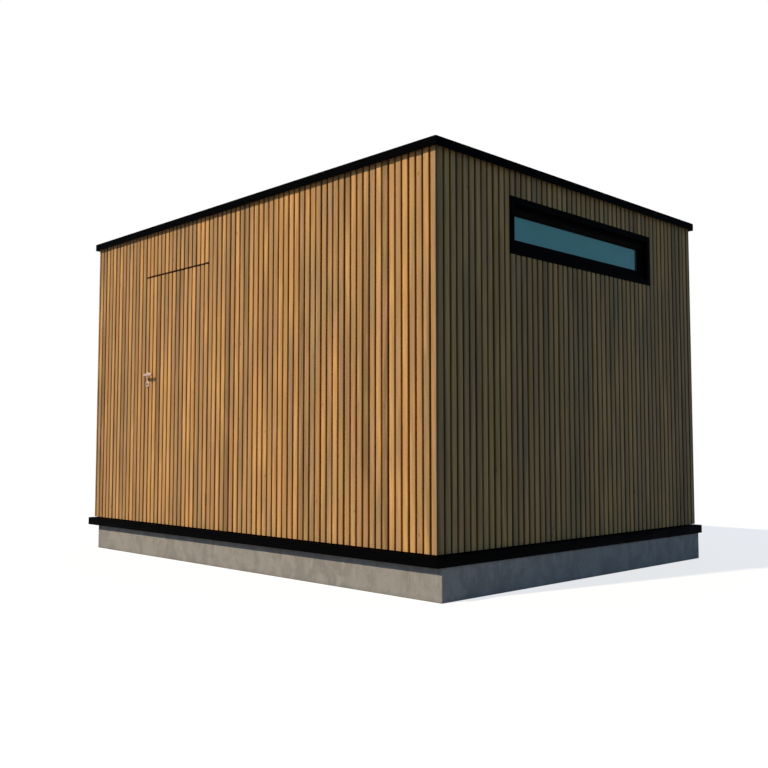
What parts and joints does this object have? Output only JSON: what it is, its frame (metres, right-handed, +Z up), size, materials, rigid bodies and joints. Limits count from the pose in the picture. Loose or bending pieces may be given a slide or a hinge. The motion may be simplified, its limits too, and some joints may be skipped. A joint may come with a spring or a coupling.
{
  "type": "timber frame garden house",
  "caption": "Flat-roofed timber frame garden house on a concrete plinth, clad in upright open-gap slats, with a flush slat door and a narrow high window.",
  "frame": {"origin": "on the underside of the plinth, in the middle of the cladding's plan", "axes": "+Z up, the door wall faces -Y, the window wall faces +X"},
  "size_m": [4.094, 3.0875, 2.65],
  "materials": {
    "concrete": "cast concrete, matte, fine vertical streaks",
    "dark_metal": "powder coated, near black, satin",
    "window_metal": "powder coated, near black, satin",
    "larch": "warm brown timber slats, matte, fine grain with small knots",
    "sheathing": "dark membrane over boards",
    "floor_boards": "oiled floor boards",
    "inner_boards": "plain spruce boards",
    "frame_timber": "dark stained timber",
    "leaf_timber": "dark stained timber",
    "membrane": "roof sheet, matte",
    "glass": "double glazing, cool tint",
    "sill_metal": "mill finish",
    "steel": "satin stainless steel"
  },
  "bodies": {
    "house": {"plinth": "concrete", "ledge_front": "dark_metal", "ledge_right": "dark_metal", "ledge_back": "dark_metal", "ledge_left": "dark_metal", "floor_panel": "floor_boards", "front_wall_left": "sheathing", "front_wall_right": "sheathing", "front_wall_over_door": "sheathing", "right_wall": "sheathing", "back_wall": "sheathing", "left_wall": "sheathing", "front_cladding_left": "larch", "front_cladding_right": "larch", "front_cladding_over_door": "larch", "right_cladding": "larch", "back_cladding": "larch", "left_cladding": "larch", "ceiling": "inner_boards", "roof_panel": "sheathing", "roof_upstand": "sheathing", "roof_membrane": "membrane", "roof_trim_front": "dark_metal", "roof_trim_right": "dark_metal", "roof_trim_back": "dark_metal", "roof_trim_left": "dark_metal", "window_surround": "window_metal", "window_lining": "inner_boards", "window_frame": "window_metal", "window_glass": "glass", "door_jamb_hinge_side": "frame_timber", "door_jamb_latch_side": "frame_timber", "door_head": "frame_timber", "threshold": "sill_metal", "strike_plate": "steel", "frame_hinges": "dark_metal"},
    "door": {"door_leaf": "leaf_timber", "door_cladding": "larch", "leaf_hinges": "dark_metal", "lock_forend": "steel", "rosettes": "steel", "lock_cylinder": "steel"},
    "lever": {"lever_outside": "steel", "lever_inside": "steel", "spindle": "steel"}
  },
  "joints": [
    {"name": "door_hinge", "type": "hinge", "parent": "house", "child": "door", "pos_m": [-0.2952, -1.5, 1.25], "axis": [0, 0, 1], "range_deg": [0, 105]},
    {"name": "lever_turn", "type": "hinge", "parent": "door", "child": "lever", "pos_m": [-1.1504, -1.5, 1.445], "axis": [0, 1, 0], "range_deg": [0, 40], "stiffness_Nm_per_rad": 1, "springref_deg": -34.38}
  ]
}
